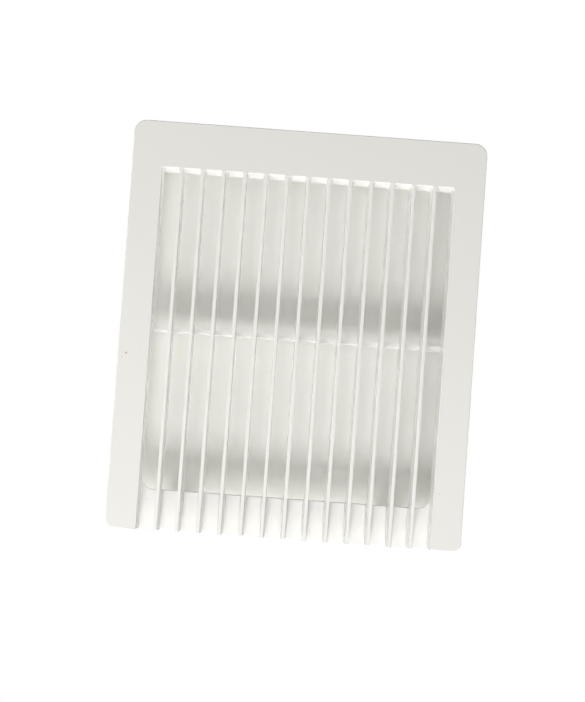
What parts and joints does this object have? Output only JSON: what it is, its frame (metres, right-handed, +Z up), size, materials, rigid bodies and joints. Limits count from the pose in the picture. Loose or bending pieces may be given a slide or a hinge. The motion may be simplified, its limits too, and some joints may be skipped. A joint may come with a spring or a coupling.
{
  "type": "exhaust grille",
  "caption": "Rectangular moulded exhaust grille: hollow rounded border, upright ribs with slots open at the bottom edge, a crossbar and lower back plate, and snap hooks behind.",
  "frame": {"origin": "middle of the rear face that bears on the wall or filter frame, at half the grille's width and height", "axes": "+Z up along the ribs, +Y back into the wall out of the rear face, front face towards -Y, +X to the right seen from the front"},
  "size_m": [0.13, 0.023, 0.15],
  "materials": {
    "white_plastic": "satin moulded white, faintly warm, with fine handling scratches"
  },
  "bodies": {
    "root": {"exhaust_grille": "white_plastic"}
  },
  "joints": []
}
